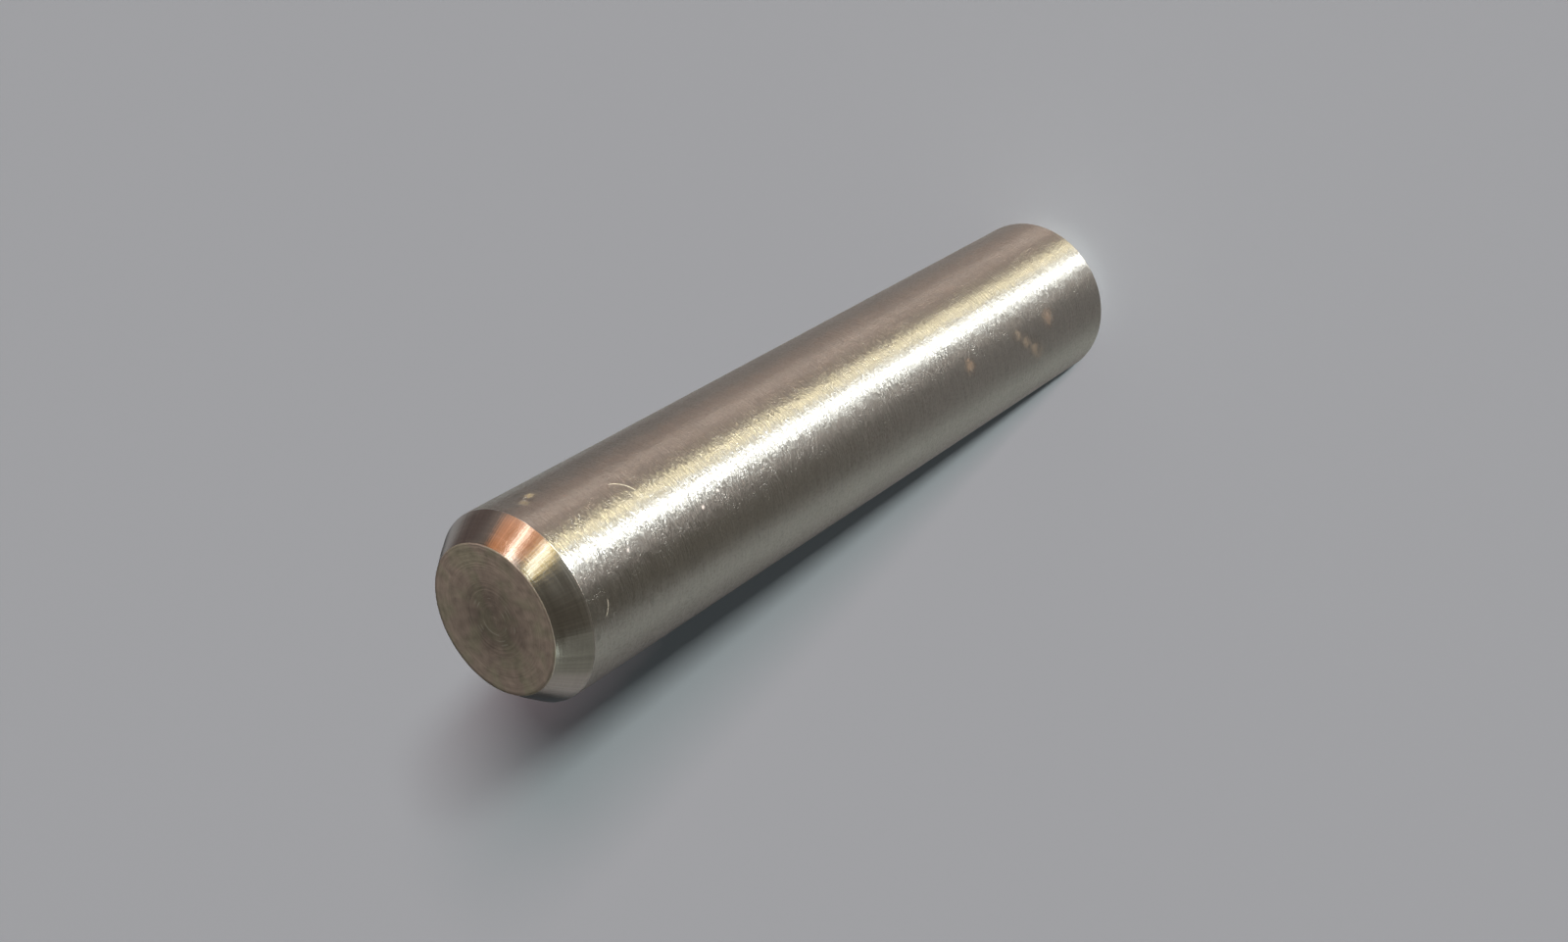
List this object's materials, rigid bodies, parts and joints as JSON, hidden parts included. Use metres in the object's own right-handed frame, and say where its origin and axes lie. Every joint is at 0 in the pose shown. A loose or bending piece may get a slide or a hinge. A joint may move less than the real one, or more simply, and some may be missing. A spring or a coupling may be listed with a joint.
{
  "type": "dowel pin",
  "caption": "Straight ground steel dowel pin with a chamfered lead and a flat face at each end, for locating or fastening parts in reamed holes.",
  "frame": {"origin": "centre of the end face that the pin stands on", "axes": "+Z along the pin, from the standing end face up to the other one; X and Y are free about the axis"},
  "size_m": [0.0064, 0.0064, 0.0318],
  "materials": {
    "ground_steel": "ground body, turned ends"
  },
  "bodies": {
    "root": {"pin": "ground_steel"}
  },
  "joints": []
}
